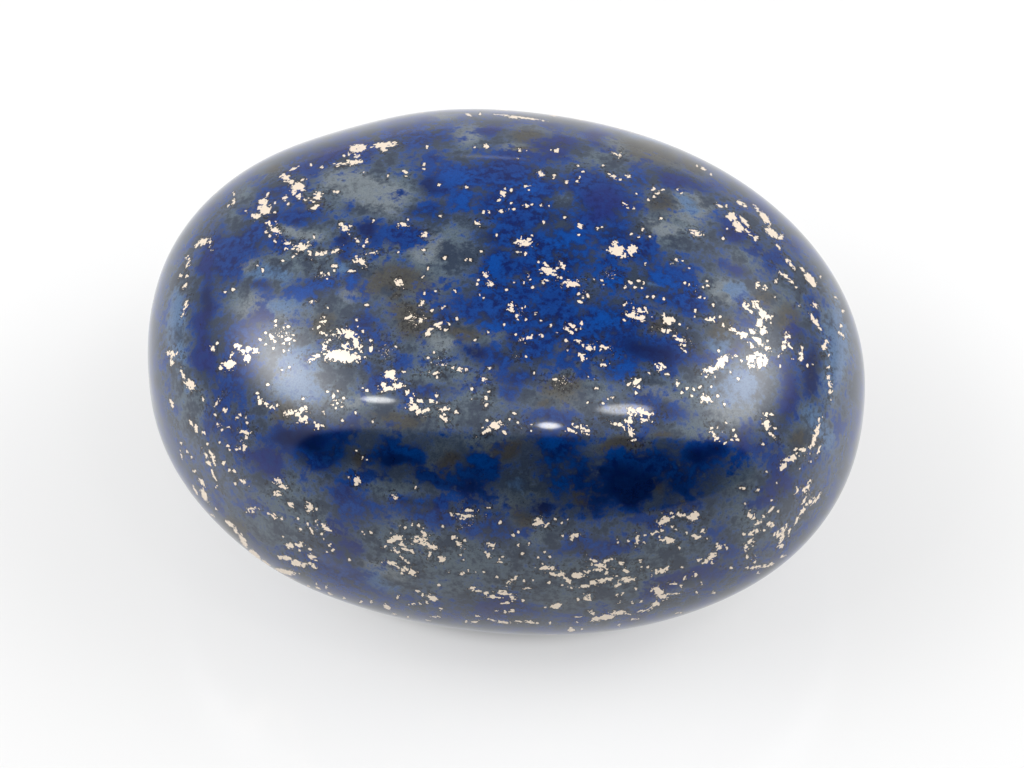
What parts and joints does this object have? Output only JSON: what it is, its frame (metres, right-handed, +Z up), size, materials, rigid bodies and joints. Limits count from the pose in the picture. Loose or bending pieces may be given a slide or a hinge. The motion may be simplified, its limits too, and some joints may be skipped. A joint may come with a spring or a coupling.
{
  "type": "polished lapis lazuli stone",
  "caption": "Tumble-polished lapis lazuli pebble, a blue oval pillow with grey matrix and brassy pyrite, that rests level on a small flat spot.",
  "frame": {"origin": "middle of the stone's length and width, on the flat spot it rests on", "axes": "+X along the stone's length, +Y across it, +Z up"},
  "size_m": [0.032, 0.0244, 0.0183],
  "materials": {
    "lapis": "polished"
  },
  "bodies": {
    "root": {"lapis_stone": "lapis"}
  },
  "joints": []
}
